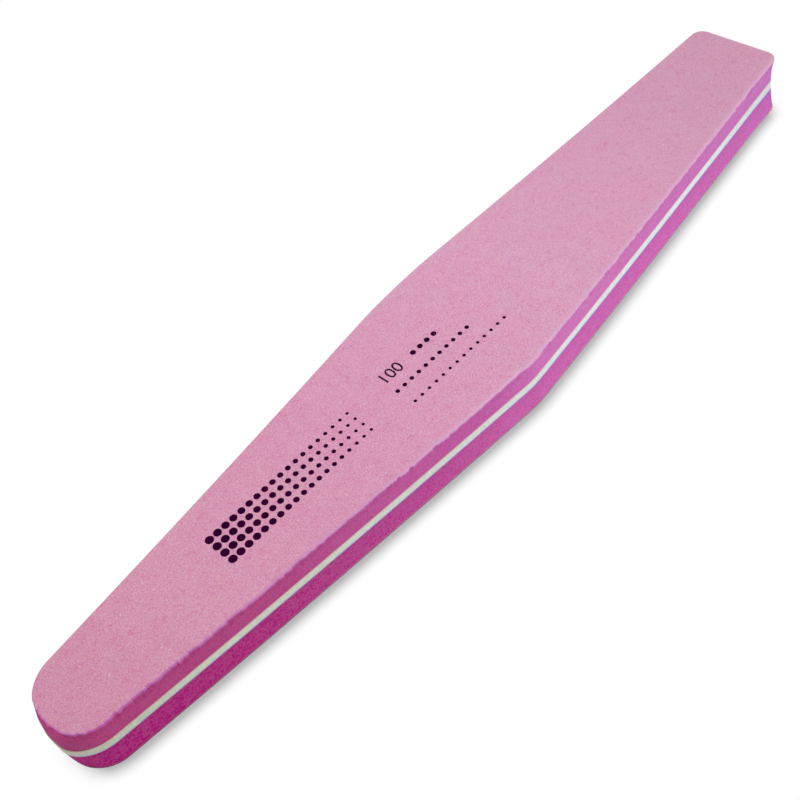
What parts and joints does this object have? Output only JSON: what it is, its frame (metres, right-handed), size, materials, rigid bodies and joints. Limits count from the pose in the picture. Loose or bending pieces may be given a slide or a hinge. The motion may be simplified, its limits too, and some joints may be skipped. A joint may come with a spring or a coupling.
{
  "type": "sponge nail file",
  "caption": "Long diamond-shaped laminated nail file: foam pads on a stiff white core, a coarse abrasive face above, a fine one below.",
  "frame": {"origin": "under the middle of the file, on the fine abrasive face that it lies on", "axes": "+X along the file to the square end, +Y across it, +Z out of the coarse abrasive face"},
  "size_m": [0.1786, 0.031, 0.0107],
  "materials": {
    "coarse_grit": "fine mineral grain in matt pink resin, with a few bright grains",
    "fine_grit": "finer mineral grain in matt pink resin",
    "backing_paper": "matt pale lilac cut edge",
    "glue": "thin clear acrylic adhesive",
    "upper_foam": "matt closed-cell foam, violet pink",
    "lower_foam": "matt closed-cell foam, deep magenta, mottled",
    "core_plastic": "off-white polystyrene sheet, satin cut edge"
  },
  "bodies": {
    "root": {"lower_grit_coat": "fine_grit", "lower_backing_sheet": "backing_paper", "lower_outer_glue": "glue", "lower_foam_pad": "lower_foam", "lower_inner_glue": "glue", "core_plate": "core_plastic", "upper_inner_glue": "glue", "upper_foam_pad": "upper_foam", "upper_outer_glue": "glue", "upper_backing_sheet": "backing_paper", "upper_grit_coat": "coarse_grit"}
  },
  "joints": []
}
